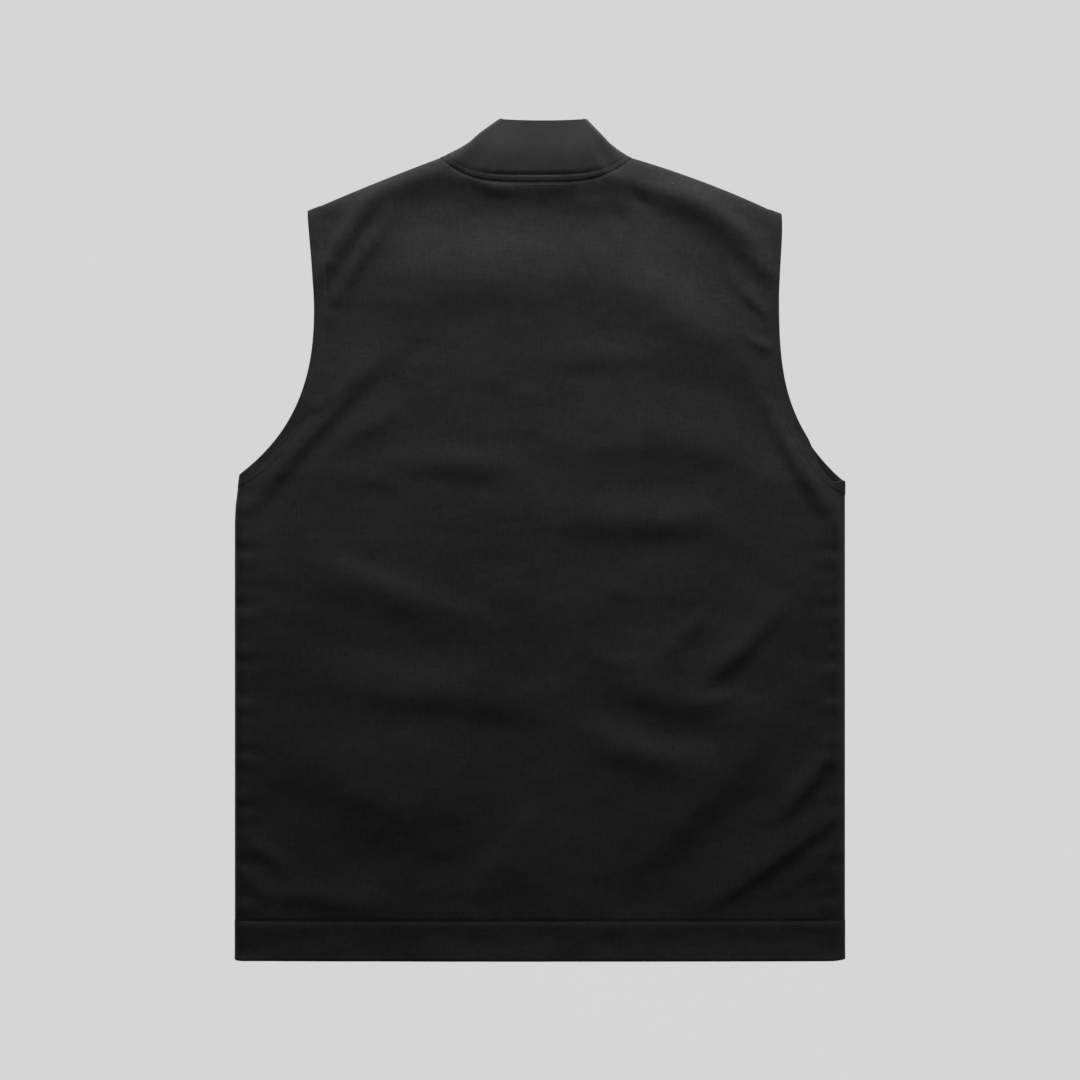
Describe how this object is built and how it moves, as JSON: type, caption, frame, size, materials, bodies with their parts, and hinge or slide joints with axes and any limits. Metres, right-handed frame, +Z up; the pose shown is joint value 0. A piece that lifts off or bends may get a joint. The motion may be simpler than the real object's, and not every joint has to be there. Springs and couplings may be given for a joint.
{
  "type": "work vest",
  "caption": "Sleeveless canvas work vest with a rib-knit stand collar, banded armholes and a hem band, lying flat on its front with its back up.",
  "frame": {"origin": "middle of the vest's outline, on the surface that it lies on", "axes": "+Y from the hem to the collar, +Z up from the surface, +X to the right of the back as seen from above"},
  "size_m": [0.5806, 0.7979, 0.0303],
  "materials": {
    "canvas": "black cotton duck canvas, matt, slightly brushed",
    "rib_knit": "black doubled rib knit, matt",
    "zip": "black zip tape and coil"
  },
  "bodies": {
    "root": {"back_panel": "canvas", "back_hem_band": "canvas", "front_panel_left": "canvas", "front_panel_right": "canvas", "front_hem_band_left": "canvas", "front_hem_band_right": "canvas", "armhole_band_left": "canvas", "armhole_band_right": "canvas", "neck_band": "canvas", "rib_collar": "rib_knit", "front_zip": "zip"}
  },
  "joints": []
}
